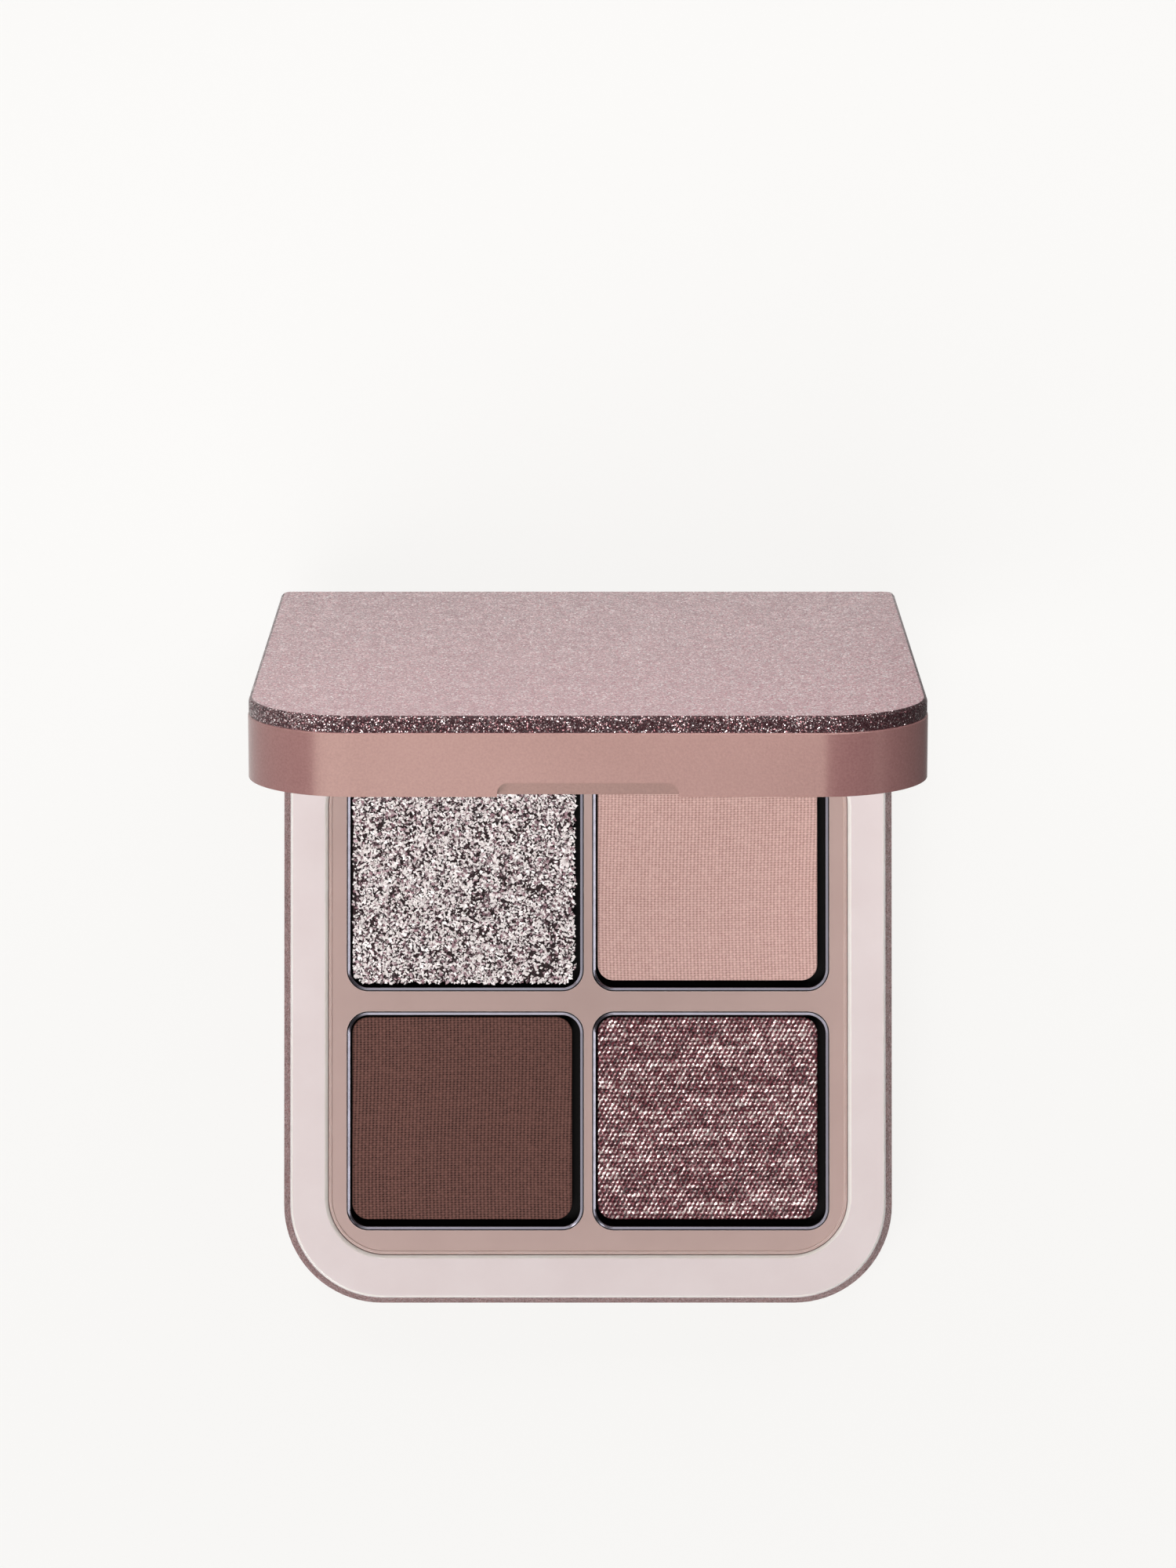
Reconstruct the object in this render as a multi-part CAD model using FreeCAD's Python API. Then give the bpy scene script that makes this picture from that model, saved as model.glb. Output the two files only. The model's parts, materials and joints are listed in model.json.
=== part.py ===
import FreeCAD, Part
import math
import os

# Eyeshadow palette: a compact with a hinged lid, a mirror and four pressed powders.
# Millimetres. +Z is up, the front with the finger notch faces -Y, and the hinge runs along X at
# the back. The origin is the middle of the underside. The lid is modelled shut, then opened.

# Pans and powders
pan_width = 25.5
pan_depth = 23.5
pan_height = 3.2
pan_corner_radius = 2.25
pan_wall = 0.45
pan_bottom_chamfer = 0.5
pan_edge_chamfer = 0.12
column_web = 1.15
row_web = 2.43
powder_recess = 0.55
powder_gap = 0.02
powder_side_gap = 0.7
powder_front_gap = 0.6
powder_edge_chamfer = 0.3
glue_size = 12.0
glue_thickness = 0.15

# Tray that holds the pans
deck_side_margin = 2.12
deck_end_margin = 2.78
deck_corner_radius = 6.2
deck_drop = 0.6
deck_floor = 0.7
deck_flange = 0.8
deck_gap = 0.1
deck_bead_width = 0.4
deck_bead_height = 0.15
deck_bead_chamfer = 0.1
well_gap = 0.12
pan_proud = 0.1

# Pale frame on top of the base
rim_side_width = 3.98
rim_end_width = 4.51
rim_thickness = 0.8
rim_window_gap = 0.05
rim_seat_gap = 0.05
rim_outer_chamfer = 0.12
rim_inner_chamfer = 0.35
rim_corner_radius = 10.0

# Base shell, whose front and sides lean in by the rim inset towards the top
rim_inset = 1.1
base_back_lean = 0.3
base_floor = 0.8
bottom_panel_thickness = 1.65
bottom_panel_chamfer = 0.5
bottom_rib_height = 0.6

# Lid shell
case_corner_radius = 10.7
back_corner_radius = 1.3
closed_gap = 0.12
lip_thickness = 2.0
lid_roof = 1.4
lid_top_chamfer = 0.12
lid_panel_thickness = 1.65
lid_panel_chamfer = 0.3
lid_rib_height = 1.85
panel_inset = 0.08
rib_margin = 3.2
rib_width = 1.2
rib_gap = 0.1

# Finger notch in the lid's front edge
notch_width = 17.5
notch_height = 1.38
notch_depth = 1.3
notch_corner_radius = 1.05

# Mirror and the bezel that holds it
bezel_thickness = 1.2
bezel_gap = 0.05
bezel_overlap = 1.0
bezel_edge_chamfer = 0.25
mirror_margin = 2.5
mirror_thickness = 1.6
mirror_gap = 0.1
mirror_bevel = 0.3
tape_thickness = 0.2
tape_margin = 3.0

# Closing magnets
magnet_length = 8.0
magnet_width = 1.4
magnet_thickness = 1.5
magnet_edge_chamfer = 0.2
magnet_gap = 0.05
magnet_side_margin = 13.3

# Hinge
hinge_zone_depth = 6.1
knuckle_radius = 1.75
knuckle_gap = 0.2
ear_width = 7.0
ear_side_gap = 0.2
pin_diameter = 1.5
pin_length = 11.0
pin_chamfer = 0.2
pin_running_gap = 0.05
pin_end_room = 0.4
neck_offset = 0.4
stop_gap = 0.1
widest_opening = 120.0
photo_opening = 77.5

# Sizes that follow from the ones above
window_width = 2 * pan_width + column_web + 2 * deck_side_margin
window_depth = 2 * pan_depth + row_web + 2 * deck_end_margin
case_width = window_width + 2 * rim_side_width + 2 * rim_inset
case_depth = rim_inset + rim_end_width + window_depth + rim_end_width + hinge_zone_depth
half_width = case_width / 2
front = -case_depth / 2
back = case_depth / 2
window_front = front + rim_inset + rim_end_width
window_back = window_front + window_depth
window_centre = (window_front + window_back) / 2
rim_back = back - hinge_zone_depth

base_floor_top = bottom_panel_thickness + bottom_rib_height + base_floor
well_floor = base_floor_top + deck_floor
pan_bottom = well_floor + glue_thickness
pan_top = pan_bottom + pan_height
deck_top = pan_top - pan_proud
base_height = deck_top + deck_drop
rim_underside = base_height - rim_thickness

lid_bottom = base_height + closed_gap
mirror_face = lid_bottom + bezel_thickness
tape_face = mirror_face + mirror_thickness
roof_face = tape_face + tape_thickness
lid_top = roof_face + lid_roof + lid_rib_height

axis_y = back - knuckle_radius
axis_z = base_height
ear_outer = half_width - rim_inset
ear_inner = ear_outer - ear_width
tongue_half = ear_inner - ear_side_gap
clear_radius = knuckle_radius + knuckle_gap
pin_radius = pin_diameter / 2
magnet_y = front + rim_inset + (rim_end_width - deck_flange - deck_gap) / 2
beyond = case_width + case_depth
touching = 1e-4


def vector(x, y, z):
    return FreeCAD.Vector(x, y, z)


# Rectangle with rounded corners, in the plane at height z
def outline(half, y_front, y_back, front_radius, back_radius, z):
    corners = [
        (-half, y_front, front_radius, 1, 1),
        (half, y_front, front_radius, -1, 1),
        (half, y_back, back_radius, -1, -1),
        (-half, y_back, back_radius, 1, -1),
    ]
    edges = []
    ends = []
    for index, (x, y, radius, sx, sy) in enumerate(corners):
        along_x = vector(x + sx * radius, y, z)
        along_y = vector(x, y + sy * radius, z)
        bulge = radius * (1 - math.sqrt(0.5))
        middle = vector(x + sx * bulge, y + sy * bulge, z)
        first, last = (along_y, along_x) if index % 2 == 0 else (along_x, along_y)
        ends.append((first, middle, last))
    for index, (first, middle, last) in enumerate(ends):
        following = ends[(index + 1) % len(ends)][0]
        edges.append(Part.Arc(first, middle, last).toShape())
        edges.append(Part.LineSegment(last, following).toShape())
    return Part.Wire(edges)


def slab(half, y_front, y_back, front_radius, back_radius, low, high):
    wire = outline(half, y_front, y_back, front_radius, back_radius, low)
    return Part.Face(wire).extrude(vector(0, 0, high - low))


def box(x0, x1, y0, y1, z0, z1):
    return Part.makeBox(x1 - x0, y1 - y0, z1 - z0, vector(x0, y0, z0))


def rod(radius, x0, x1):
    return Part.makeCylinder(radius, x1 - x0, vector(x0, axis_y, axis_z), vector(1, 0, 0))


def edges_at(shape, z):
    found = []
    for edge in shape.Edges:
        bounds = edge.BoundBox
        if abs(bounds.ZMin - z) < touching and abs(bounds.ZMax - z) < touching:
            found.append(edge)
    return found


def edges_within(shape, z, opening):
    return [edge for edge in edges_at(shape, z) if opening.isInside(edge.CenterOfMass, touching, True)]


# Both sides of the hinge, as pairs from the inner to the outer end along X
def both_sides(inner, outer):
    return [(-outer, -inner), (inner, outer)]


# The case's outline, drawn in by an even margin
def case_slab(margin, low, high):
    radius = case_corner_radius - margin
    back_radius = max(back_corner_radius - margin, back_corner_radius / 2)
    return slab(half_width - margin, front + margin, back - margin, radius, back_radius, low, high)


# The base's outline at a height, from the case's outline below to the pale frame's on top
def base_outline(z, margin):
    share = (z - bottom_panel_thickness) / (base_height - bottom_panel_thickness)
    inset = rim_inset * share + margin
    radius = case_corner_radius + (rim_corner_radius - case_corner_radius) * share - margin
    return outline(half_width - inset, front + inset, back - base_back_lean * share,
                   radius, back_corner_radius, z)


# Base shell before its cuts
def base_envelope():
    low = base_outline(bottom_panel_thickness, 0)
    high = base_outline(base_height, 0)
    return Part.makeLoft([low, high], True, True)


def window_slab(margin, low, high):
    radius = deck_corner_radius + margin
    return slab(window_width / 2 + margin, window_front - margin, window_back + margin,
                radius, radius, low, high)


# Room behind the hinge for the lid's back wall, down to the sloping face that stops the lid
def swing_room():
    angle = math.radians(widest_opening)
    reach = knuckle_radius + stop_gap

    def stop_height(forward):
        return (-reach - forward * math.cos(angle)) / math.sin(angle)

    behind = -(knuckle_radius + case_corner_radius)
    points = [
        (neck_offset, stop_height(neck_offset)),
        (behind, stop_height(behind)),
        (behind, beyond),
        (neck_offset, beyond),
    ]
    corners = [vector(-beyond, axis_y - forward, axis_z + height) for forward, height in points]
    profile = Part.makePolygon(corners + corners[:1])
    return Part.Face(profile).extrude(vector(2 * beyond, 0, 0))


def magnet_slab(x, low, gap):
    half_length = magnet_length / 2 + gap
    half_thick = magnet_width / 2 + gap
    return box(x - half_length, x + half_length, magnet_y - half_thick, magnet_y + half_thick,
               low, low + magnet_thickness + gap)


def magnet(x, low):
    block = magnet_slab(x, low, 0)
    return block.makeChamfer(magnet_edge_chamfer, block.Edges)


base_magnet_low = rim_underside - magnet_gap - magnet_thickness
magnet_places = {"left": magnet_side_margin - half_width, "right": half_width - magnet_side_margin}


def make_base_frame():
    shell = base_envelope()
    seat_back = rim_back + rim_seat_gap
    shell = shell.cut(box(-beyond, beyond, -beyond, seat_back, rim_underside, base_height + beyond))
    shell = shell.cut(window_slab(deck_flange + deck_gap, base_floor_top, base_height))
    rib_top = bottom_panel_thickness + bottom_rib_height
    shell = shell.cut(case_slab(rib_margin - rib_gap, 0, rib_top))
    for x in magnet_places.values():
        shell = shell.cut(magnet_slab(x, base_magnet_low, magnet_gap))
    shell = shell.cut(swing_room())
    shell = shell.cut(rod(clear_radius, -ear_inner, ear_inner))
    for x0, x1 in both_sides(ear_inner, ear_outer):
        shell = shell.fuse(rod(knuckle_radius, x0, x1))
    for x0, x1 in both_sides(ear_inner, half_width):
        shell = shell.cut(rod(pin_radius, x0, x1))
    return shell.removeSplitter()


# Rib that runs round inside a cap and locates it in its shell
def panel_rib(low, high):
    return case_slab(rib_margin, low, high).cut(case_slab(rib_margin + rib_width, low, high))


def make_bottom_panel():
    plate = case_slab(panel_inset, 0, bottom_panel_thickness)
    plate = plate.makeChamfer(bottom_panel_chamfer, edges_at(plate, 0))
    rib = panel_rib(bottom_panel_thickness, bottom_panel_thickness + bottom_rib_height)
    return plate.fuse(rib).removeSplitter()


def make_lid_panel():
    panel_top = lid_top + lid_panel_thickness
    plate = case_slab(panel_inset, lid_top, panel_top)
    plate = plate.makeChamfer(lid_panel_chamfer, edges_at(plate, panel_top))
    return plate.fuse(panel_rib(lid_top - lid_rib_height, lid_top)).removeSplitter()


def make_rim_plate():
    below = base_outline(rim_underside, 0)
    shoulder = base_outline(base_height - rim_outer_chamfer, 0)
    above = base_outline(base_height, rim_outer_chamfer)
    plate = Part.makeLoft([below, shoulder, above], True, True)
    plate = plate.cut(box(-beyond, beyond, rim_back, beyond, rim_underside, base_height))
    window = window_slab(0, rim_underside, base_height)
    plate = plate.cut(window)
    return plate.makeChamfer(rim_inner_chamfer, edges_within(plate, base_height, window))


def pan_centre(column, row):
    x = column * (pan_width + column_web) / 2
    y = window_centre + row * (pan_depth + row_web) / 2
    return x, y


# Pan outline grown by a margin, as a prism about the pan's centre
def pan_slab(centre, margin, low, high):
    x, y = centre
    half_depth = pan_depth / 2 + margin
    radius = pan_corner_radius + margin
    prism = slab(pan_width / 2 + margin, -half_depth, half_depth, radius, radius, low, high)
    prism.translate(vector(x, y, 0))
    return prism


pan_places = {
    "rear_left": pan_centre(-1, 1),
    "rear_right": pan_centre(1, 1),
    "front_left": pan_centre(-1, -1),
    "front_right": pan_centre(1, -1),
}
powder_names = {
    "rear_left": "powder_glitter",
    "rear_right": "powder_pink",
    "front_left": "powder_brown",
    "front_right": "powder_plum",
}


def make_pan_deck():
    tray = window_slab(deck_flange, base_floor_top, rim_underside)
    bead_top = deck_top + deck_bead_height
    raised = window_slab(-rim_window_gap, rim_underside, bead_top)
    raised = raised.cut(window_slab(-rim_window_gap - deck_bead_width, deck_top, bead_top))
    raised = raised.makeChamfer(deck_bead_chamfer, edges_at(raised, bead_top))
    tray = tray.fuse(raised)
    for centre in pan_places.values():
        tray = tray.cut(pan_slab(centre, well_gap, well_floor, bead_top))
    return tray.removeSplitter()


def make_pan(centre):
    outside = pan_slab(centre, 0, pan_bottom, pan_top)
    outside = outside.makeChamfer(pan_bottom_chamfer, edges_at(outside, pan_bottom))
    dish = outside.cut(pan_slab(centre, -pan_wall, pan_bottom + pan_wall, pan_top))
    return dish.makeChamfer(pan_edge_chamfer, edges_at(dish, pan_top))


# Powder cake, pressed up to the pan's left and rear walls and clear of the other two
def make_powder(centre):
    x, y = centre
    surface = pan_top - powder_recess
    half_inside = pan_width / 2 - pan_wall
    half_depth = pan_depth / 2 - pan_wall
    half = half_inside - (powder_gap + powder_side_gap) / 2
    radius = pan_corner_radius - pan_wall - powder_gap
    cake = slab(half, powder_front_gap - half_depth, half_depth - powder_gap, radius, radius,
                pan_bottom + pan_wall, surface)
    cake.translate(vector(x + (powder_gap - powder_side_gap) / 2, y, 0))
    return cake.makeChamfer(powder_edge_chamfer, edges_at(cake, surface))


def make_glue(centre):
    x, y = centre
    half = glue_size / 2
    return box(x - half, x + half, y - half, y + half, well_floor, pan_bottom)


def make_hinge_pin(x0, x1):
    pin = rod(pin_radius, x0, x1)
    ends = [edge for edge in pin.Edges if edge.BoundBox.XLength < pin_chamfer]
    return pin.makeChamfer(pin_chamfer, ends)


# Space inside the lid's lip, from the mating face, drawn in by a margin
def lid_inside(margin, low, high):
    inset = lip_thickness + margin
    radius = case_corner_radius - inset
    return slab(half_width - inset, front + inset, rim_back - margin, radius, radius, low, high)


def notch_cut():
    half = notch_width / 2
    roof = lid_bottom + notch_height
    cutter = box(-half, half, front - notch_depth, front + notch_depth, lid_bottom - notch_height, roof)
    upper = [edge for edge in cutter.Edges
             if edge.BoundBox.YLength > notch_depth and edge.BoundBox.ZMin > lid_bottom]
    return cutter.makeFillet(notch_corner_radius, upper)


def make_lid_frame():
    shell = case_slab(0, lid_bottom, lid_top)
    shell = shell.makeChamfer(lid_top_chamfer, edges_at(shell, lid_top))
    shell = shell.cut(lid_inside(0, lid_bottom, mirror_face))
    shell = shell.cut(lid_inside(mirror_margin, mirror_face, roof_face))
    shell = shell.cut(case_slab(rib_margin - rib_gap, lid_top - lid_rib_height, lid_top))
    for x in magnet_places.values():
        shell = shell.cut(magnet_slab(x, mirror_face, magnet_gap))
    shell = shell.cut(notch_cut())
    for x0, x1 in both_sides(tongue_half, beyond):
        shell = shell.cut(rod(clear_radius, x0, x1))
    shell = shell.fuse(rod(knuckle_radius, -tongue_half, tongue_half))
    bore_inner = ear_outer - pin_length - pin_end_room
    for x0, x1 in both_sides(bore_inner, tongue_half):
        shell = shell.cut(rod(pin_radius + pin_running_gap, x0, x1))
    return shell.removeSplitter()


def make_lid_bezel():
    opening = lid_inside(mirror_margin + mirror_gap + bezel_overlap, lid_bottom, mirror_face)
    ring = lid_inside(bezel_gap, lid_bottom, mirror_face).cut(opening)
    return ring.makeChamfer(bezel_edge_chamfer, edges_within(ring, lid_bottom, opening))


def make_mirror():
    plate = lid_inside(mirror_margin + mirror_gap, mirror_face, tape_face)
    return plate.makeChamfer(mirror_bevel, edges_at(plate, mirror_face))


# Plain cut sheet behind the mirror, clear of its rounded corners
def make_mirror_tape():
    inset = lip_thickness + mirror_margin + tape_margin
    return box(inset - half_width, half_width - inset, front + inset,
               rim_back - mirror_margin - tape_margin, tape_face, roof_face)


base_parts = {
    "base_frame": make_base_frame(),
    "bottom_panel": make_bottom_panel(),
    "rim_plate": make_rim_plate(),
    "pan_deck": make_pan_deck(),
}
for name, centre in pan_places.items():
    base_parts["pan_" + name] = make_pan(centre)
    base_parts["glue_" + name] = make_glue(centre)
    base_parts[powder_names[name]] = make_powder(centre)
for name, x in magnet_places.items():
    base_parts["base_magnet_" + name] = magnet(x, base_magnet_low)
for name, (x0, x1) in zip(("left", "right"), both_sides(ear_outer - pin_length, ear_outer)):
    base_parts["hinge_pin_" + name] = make_hinge_pin(x0, x1)

lid_parts = {
    "lid_frame": make_lid_frame(),
    "lid_panel": make_lid_panel(),
    "lid_bezel": make_lid_bezel(),
    "mirror": make_mirror(),
    "mirror_tape": make_mirror_tape(),
}
for name, x in magnet_places.items():
    lid_parts["lid_magnet_" + name] = magnet(x, mirror_face)

# Open the lid: its front edge rises as it turns about the hinge
for shape in lid_parts.values():
    shape.rotate(vector(0, axis_y, axis_z), vector(-1, 0, 0), photo_opening)

os.makedirs("parts", exist_ok=True)
for name, shape in {**base_parts, **lid_parts}.items():
    solid = shape.Solids[0]
    solid.exportStep("parts/" + name + ".step")
    print(name, len(shape.Solids), solid.isValid(), round(solid.Volume, 2))
print("case", round(case_width, 2), round(case_depth, 2), "base", round(base_height, 2),
      "shut", round(lid_top + lid_panel_thickness, 2), "axis", round(axis_y, 3), round(axis_z, 3))
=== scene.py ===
# Eyeshadow palette: rounded shells, pressed powders, finishes, floor, light and camera.
import json
import math

import bmesh
import bpy
import numpy as np
from mathutils import Matrix, Vector, noise

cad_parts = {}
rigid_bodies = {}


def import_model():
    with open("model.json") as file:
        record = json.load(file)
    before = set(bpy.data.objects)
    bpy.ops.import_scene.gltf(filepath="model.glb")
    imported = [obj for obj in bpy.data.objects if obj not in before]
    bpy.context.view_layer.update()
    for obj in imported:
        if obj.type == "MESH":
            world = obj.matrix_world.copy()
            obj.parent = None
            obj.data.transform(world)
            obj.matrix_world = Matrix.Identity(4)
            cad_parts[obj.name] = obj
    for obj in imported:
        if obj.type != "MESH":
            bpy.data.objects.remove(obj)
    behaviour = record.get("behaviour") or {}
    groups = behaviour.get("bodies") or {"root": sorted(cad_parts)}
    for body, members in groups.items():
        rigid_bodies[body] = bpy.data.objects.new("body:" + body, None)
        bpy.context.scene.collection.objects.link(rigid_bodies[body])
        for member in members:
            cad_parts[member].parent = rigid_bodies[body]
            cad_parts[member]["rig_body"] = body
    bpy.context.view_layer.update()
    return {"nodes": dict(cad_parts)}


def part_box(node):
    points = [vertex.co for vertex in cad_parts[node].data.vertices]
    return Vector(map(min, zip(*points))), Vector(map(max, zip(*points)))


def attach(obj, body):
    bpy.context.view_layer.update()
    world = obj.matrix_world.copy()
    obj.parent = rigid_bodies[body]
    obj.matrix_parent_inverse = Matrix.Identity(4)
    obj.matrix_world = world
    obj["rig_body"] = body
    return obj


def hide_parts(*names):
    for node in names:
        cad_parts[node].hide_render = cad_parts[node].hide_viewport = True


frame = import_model()

MM = 0.001
CORNERS = ("rear_left", "rear_right", "front_left", "front_right")
SIDES = ("left", "right")

# How a solid's triangles join into flat faces, and the angles past which edges are rounded or stay sharp
WELD = 0.002 * MM
FLAT_ANGLE = math.radians(0.5)
SHARP_ANGLE = math.radians(20)
SHADE_ANGLE = math.radians(32)

# A face is a sloping edge where the share of its normal along the piece's own facing is between these
EDGE_SLOPE_LOW = 0.3
EDGE_SLOPE_HIGH = 0.95

# Width of the rounding on each piece's edges, and the number of facets across it
LID_SHELL_ROUND = 0.1 * MM
MIRROR_BEZEL_ROUND = 0.06 * MM
LID_CAP_ROUND = 0.08 * MM
BOTTOM_CAP_ROUND = 0.15 * MM
BASE_SHELL_ROUND = 0.05 * MM
PAN_TRAY_ROUND = 0.1 * MM
PALE_FRAME_ROUND = 0.05 * MM
PAN_ROUND = 0.03 * MM
MOULDED_FACETS = 3
PAN_FACETS = 2

# Pressed powders: corners, rounded shoulder, and spacing and depth of the threads that the cloth prints
POWDER_CORNER = 1.78 * MM
POWDER_SHOULDER = 0.13 * MM
PINK_WEAVE = np.array((0.381, 0.269)) * MM
BROWN_WEAVE = np.array((0.391, 0.267)) * MM
PLUM_TWILL = np.array((0.496, 0.471)) * MM
STEPS_PER_THREAD = 4
WEAVE_DEPTH = 0.05 * MM
TWILL_DEPTH = 0.05 * MM

# Random threads: how many before they repeat
THREADS = 256

# Plain weave: waver of its threads, in threads, and the threads to a radian of it
UPRIGHT_WAVER = 0.4
UPRIGHT_WAVER_LENGTH = 17
CROSS_WAVER = 0.6
CROSS_WAVER_LENGTH = 15

# What the parts of a plain weave add to the height of its print, and how deep its holes go
WEAVE_LEVEL = 0.35
WEAVE_UPRIGHT = 0.3
WEAVE_CROSS = 0.2
WEAVE_OVER_UNDER = 0.25
WEAVE_ODD_THREAD = 0.1
HOLE_LEAST = 0.3
HOLE_SPREAD = 1.4

# Twill: slant of its floats, the threads that a slub runs over, and what the parts add to the height
TWILL_SLANT = 0.5
SLUB_LENGTH = 14
TWILL_ACROSS = 0.5
TWILL_ALONG = 0.35
TWILL_ODD_DASH = 0.6
TWILL_SLUB = 0.45
TWILL_GRIT = 0.65

# Shards of film on the glitter cake: size, layers, spill past the cake and how they gather in clumps
SHARD_SIZE = 0.26 * MM
SHARD_THICKNESS = 0.03 * MM
SHARD_LAYERS = 2
SHARD_LAYER_GAP = 0.08 * MM
SHARD_SPILL = np.array((0.2, 0.25)) * MM
SHARD_EDGE = 0.1 * MM
SHARD_CLUMP = 1.2 * MM
SHARD_COVER = 0.8
SHARD_CLUMPING = 0.55

# How each shard differs from the next: share of the full size, shape, cut corners, lean and height
SHARD_SCALE = (0.45, 1.2)
SHARD_ASPECT = (0.9, 1.5)
SHARD_JITTER = 0.3
SHARD_TILT = math.radians(24)
SHARD_LIFT = 0.05 * MM

# Drawn metal pan, from its outer edge inwards: lip that slopes into the pan, wall and floor
PAN_CORNER = 2.25 * MM
PAN_LIP_SLOPE = 0.27 * MM
PAN_LIP_DROP = 0.16 * MM
PAN_WALL_DRAFT = 0.01 * MM
PAN_FLOOR_ABOVE = 0.45 * MM
CORNER_STEPS = 16

# Film glitter in the caps' plastic: size of the flakes and of the clouds that they lie in, in millimetres,
# share left bare in thin and in dense clouds, lean of the flakes, and how rare the bright ones are
GLITTER_FLAKE = 0.14
GLITTER_FLAKE_CUT = 0.1
GLITTER_CLOUD = 1.6
GLITTER_BARE_MOST = 0.82
GLITTER_BARE_LEAST = 0.54
GLITTER_TILT = 0.95
GLITTER_RARITY = 3.0

# Sizes of the other finishes' patterns, and depth that light reaches into the edges, in millimetres
LACQUER_GRAIN = 0.22
LACQUER_CLOUD = 20.0
PLASTIC_CLOUD = 6.0
PALE_EDGE_DEPTH = 0.8
TAN_EDGE_DEPTH = 0.4
METAL_HAZE = 0.8
POWDER_GRIT = 0.12
MICA_FLAKE = 0.15

# Height of the lacquer's grain and of the powder's grit
GRAIN_HEIGHT = 0.02 * MM

# A metal's roughness at its clearest and its haziest, as shares of the one given
HAZE_LEAST = 0.7
HAZE_MOST = 1.4

# How far grit shifts a matte powder between its two colours
GRIT_SHIFT = 0.3

# Metallic powder: how far its flakes shift the print's height and lean, and the heights over which the
# colour of the hollows, painted shade, turns to that of the threads, and that to the crests' painted
# highlight
MICA_SHIFT = 0.15
MICA_TILT = 0.7
MICA_THREADS = (0.2, 0.55)
MICA_CRESTS = (0.62, 0.78)

# Shares of the shards, in random order, over which dark ones turn to rose and rose ones to pale
FILM_ROSE = (0.03, 0.18)
FILM_PALE = (0.22, 0.42)

# White sweep, in metres: half its side, and the stretch to the right of the middle where its reflection
# fades; then the level that it fades to, and the share of it that is white where it is seen
FLOOR_HALF = 3.0
FLOOR_FADE = (0.03, 0.065)
FLOOR_FADED = 0.1
FLOOR_WHITE = 0.88

# Room: strength of its light from the left and the right, heights over which the white low sky ends, and
# how far to the right its reflection fades, and to what level
ROOM_LEFT = 0.26
ROOM_RIGHT = 0.02
LOW_SKY_END = (0.3, 0.7)
LOW_SKY_FADE = 0.5
LOW_SKY_FADED = 0.05

# Lamps: place, the point that each faces, width and height, all in metres, and power in watts
LAMPS = {
    "front_left_softbox": ((-0.4, -0.45, 0.88), (-0.4, 0, 0.03), 1.0, 0.5, 9.7),
    "right_panel": ((0.6, 0.0, 0.33), (0, 0, 0.01), 0.3, 0.12, 0.27),
    "front_panel": ((0.0, -0.6, 0.33), (0, 0, 0.01), 0.3, 0.12, 0.1),
    "rear_panel": ((0.0, 0.12, 0.14), (0, 0.03, 0.06), 0.3, 0.06, 0.28),
}

# Picture that the camera takes, in the photograph's own pixels
PICTURE_HEIGHT = 2000
FOCAL_PIXELS = 7040
SENSOR = 36.0
CAMERA_RANGE = (0.01, 20)
CAMERA_PLACE = Vector((0.0, 13.1, 606.6)) * MM
CAMERA_TARGET = Vector((0.0, 21.1, 7.6)) * MM

random = np.random.default_rng(7)


# Colours are written as sRGB hex and used as linear
def linear(code):
    channels = [int(code[i:i + 2], 16) / 255 for i in (0, 2, 4)]
    return [c / 12.92 if c <= 0.04045 else ((c + 0.055) / 1.055) ** 2.4 for c in channels] + [1.0]


# Adds a node; an input is a value or the output that feeds it
def add(tree, kind, inputs=None, **settings):
    made = tree.nodes.new(kind)
    for name, value in settings.items():
        setattr(made, name, value)
    for socket, value in (inputs or {}).items():
        if isinstance(value, bpy.types.NodeSocket):
            tree.links.new(value, made.inputs[socket])
        else:
            made.inputs[socket].default_value = value
    return made


# A material or a world whose node tree is still empty
def blank(kind, name):
    made = kind.new(name)
    made.use_nodes = True
    made.node_tree.nodes.clear()
    return made, made.node_tree


# Gives a material its one surface shader
def surface(tree, inputs):
    shader = add(tree, "ShaderNodeBsdfPrincipled", inputs)
    add(tree, "ShaderNodeOutputMaterial", {"Surface": shader.outputs[0]})


# Scale of a pattern whose parts have this size
def per_metre(size_mm):
    return 1 / (size_mm * MM)


# A normal that leans its own way on every flake
def leaning(tree, flake_colour, lean):
    centred = add(tree, "ShaderNodeVectorMath", {0: flake_colour, 1: (0.5, 0.5, 0.5)}, operation="SUBTRACT")
    tilt = add(tree, "ShaderNodeVectorMath", {0: centred.outputs[0], "Scale": lean}, operation="SCALE")
    normal = add(tree, "ShaderNodeNewGeometry").outputs["Normal"]
    tilted = add(tree, "ShaderNodeVectorMath", {0: normal, 1: tilt.outputs[0]}, operation="ADD")
    return add(tree, "ShaderNodeVectorMath", {0: tilted.outputs[0]}, operation="NORMALIZE").outputs[0]


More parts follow.
